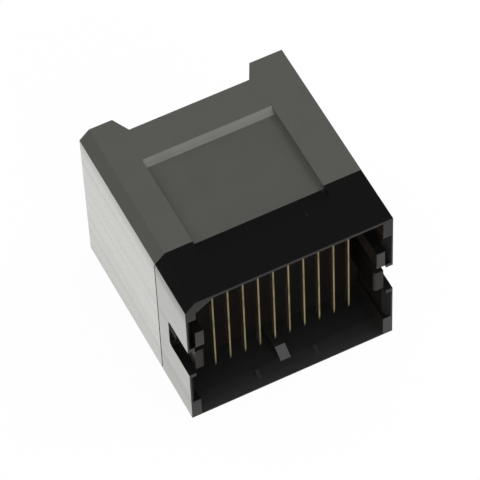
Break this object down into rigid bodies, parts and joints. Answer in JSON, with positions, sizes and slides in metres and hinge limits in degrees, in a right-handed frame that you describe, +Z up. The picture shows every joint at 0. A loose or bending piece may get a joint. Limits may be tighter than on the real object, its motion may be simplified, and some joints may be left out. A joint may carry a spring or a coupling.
{
  "type": "rectangular connector",
  "caption": "Rectangular connector with a glossy front shroud, a matte rear hood with a sunk roof panel, and a row of bent strip contacts in its open mouth.",
  "frame": {"origin": "middle of the base of the body", "axes": "+X to the right seen from the mating side, +Y from the mating opening to the rear, +Z up"},
  "size_m": [0.0346, 0.0362, 0.0296],
  "materials": {
    "shroud_plastic": "smooth moulded black, semi-gloss",
    "hood_plastic": "fine spark-eroded matte, charcoal",
    "block_plastic": "moulded black, satin",
    "contact_metal": "pale gold flash plating"
  },
  "bodies": {
    "root": {"front_shroud": "shroud_plastic", "rear_hood": "hood_plastic", "contact_block": "block_plastic", "contact_01": "contact_metal", "contact_02": "contact_metal", "contact_03": "contact_metal", "contact_04": "contact_metal", "contact_05": "contact_metal", "contact_06": "contact_metal", "contact_07": "contact_metal", "contact_08": "contact_metal", "contact_09": "contact_metal", "contact_10": "contact_metal"}
  },
  "joints": []
}
